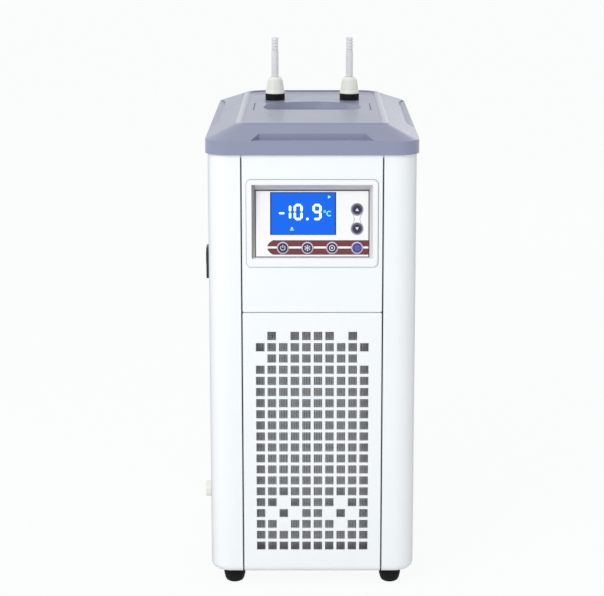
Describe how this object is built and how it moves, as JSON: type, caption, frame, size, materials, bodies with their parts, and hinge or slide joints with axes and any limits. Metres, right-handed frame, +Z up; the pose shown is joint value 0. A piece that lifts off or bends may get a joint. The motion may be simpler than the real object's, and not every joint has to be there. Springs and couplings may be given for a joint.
{
  "type": "recirculating chiller",
  "caption": "Slim floor-standing recirculating chiller with a leaning display panel, a square-hole grille and barbed hose tails on its top cover.",
  "frame": {"origin": "centre of the cabinet footprint on the floor, under the feet", "axes": "+X to the right seen from the front, -Y to the front, +Z up"},
  "size_m": [0.2255, 0.4005, 0.5615],
  "materials": {
    "white_shell": "smooth white powder coat",
    "lid_plastic": "fine-textured lavender-grey moulded plastic",
    "bezel_plastic": "satin white moulded plastic",
    "overlay_print": "printed foil",
    "lcd": "lit blue display",
    "key": "silicone key",
    "board": "circuit board",
    "black_plastic": "black nylon",
    "rubber": "black rubber",
    "natural_plastic": "natural cream plastic",
    "clear_plastic": "clear plastic",
    "steel": "zinc-plated sheet steel",
    "stainless": "drawn stainless steel",
    "aluminium": "plain fin stock",
    "copper": "copper tube",
    "black_steel": "black enamel",
    "foam": "black insulating foam"
  },
  "bodies": {
    "housing": {"base_plate": "steel", "compressor": "black_steel", "compressor_grommets": "rubber", "condenser_end_plates": "steel", "condenser_fins": "aluminium", "condenser_tube": "copper", "control_board": "board", "display_bezel": "bezel_plastic", "drain_port": "natural_plastic", "fan_bracket": "steel", "fan_motor": "aluminium", "fan_shroud": "steel", "filter_drier": "copper", "foot_front_left": "rubber", "foot_front_right": "rubber", "foot_rear_left": "rubber", "foot_rear_right": "rubber", "foot_screws": "steel", "frame_posts": "steel", "keypad_overlay": "overlay_print", "lcd_module": "lcd", "left_cover": "white_shell", "lid_screws": "steel", "lower_front_grille": "white_shell", "outlet_hose_tail": "clear_plastic", "outlet_nut": "natural_plastic", "outlet_ring": "rubber", "outlet_spigot": "stainless", "plant_shelf": "steel", "plate_exchanger": "foam", "power_board": "board", "power_inlet": "black_plastic", "pump_motor": "black_steel", "pump_volute": "natural_plastic", "rear_panel": "white_shell", "rear_screws": "steel", "reservoir": "stainless", "reservoir_lid": "stainless", "return_hose_tail": "clear_plastic", "return_nut": "natural_plastic", "return_ring": "rubber", "return_spigot": "stainless", "right_cover": "white_shell", "start_capacitor": "black_plastic", "suction_pipe": "copper", "switch_housing": "black_plastic", "tank_stand": "steel", "top_cover": "lid_plastic", "top_frame": "steel", "upper_front_panel": "white_shell"},
    "drain_cap": {"drain_cap": "natural_plastic"},
    "key_set": {"key_set": "key"},
    "key_circulate": {"key_circulate": "key"},
    "key_power": {"key_power": "key"},
    "key_cool": {"key_cool": "key"},
    "key_down": {"key_down": "key"},
    "fan_rotor": {"fan_rotor": "black_plastic"},
    "key_up": {"key_up": "key"},
    "power_rocker": {"power_rocker": "black_plastic"},
    "pump_impeller": {"pump_impeller": "natural_plastic"}
  },
  "joints": [
    {"name": "key_power_press", "type": "slide", "parent": "housing", "child": "key_power", "axis": [0, 0.9925, -0.1219], "range_m": [0, 0.0008], "stiffness_N_per_m": 150},
    {"name": "key_cool_press", "type": "slide", "parent": "housing", "child": "key_cool", "axis": [0, 0.9925, -0.1219], "range_m": [0, 0.0008], "stiffness_N_per_m": 150},
    {"name": "key_circulate_press", "type": "slide", "parent": "housing", "child": "key_circulate", "axis": [0, 0.9925, -0.1219], "range_m": [0, 0.0008], "stiffness_N_per_m": 150},
    {"name": "key_set_press", "type": "slide", "parent": "housing", "child": "key_set", "axis": [0, 0.9925, -0.1219], "range_m": [0, 0.0008], "stiffness_N_per_m": 150},
    {"name": "key_up_press", "type": "slide", "parent": "housing", "child": "key_up", "axis": [0, 0.9925, -0.1219], "range_m": [0, 0.0008], "stiffness_N_per_m": 150},
    {"name": "key_down_press", "type": "slide", "parent": "housing", "child": "key_down", "axis": [0, 0.9925, -0.1219], "range_m": [0, 0.0008], "stiffness_N_per_m": 150},
    {"name": "power_rocker_tilt", "type": "hinge", "parent": "housing", "child": "power_rocker", "pos_m": [-0.1057, -0.135, 0.341], "axis": [0, 1, 0], "range_deg": [0, 18]},
    {"name": "fan_spin", "type": "hinge", "parent": "housing", "child": "fan_rotor", "pos_m": [0, -0.14, 0.159], "axis": [0, 1, 0], "continuous": true},
    {"name": "impeller_spin", "type": "hinge", "parent": "housing", "child": "pump_impeller", "pos_m": [0.04, 0.05, 0.2495], "axis": [0, 1, 0], "continuous": true},
    {"name": "drain_cap_draw", "type": "slide", "parent": "housing", "child": "drain_cap", "axis": [-1, 0, 0], "range_m": [0, 0.009]}
  ]
}
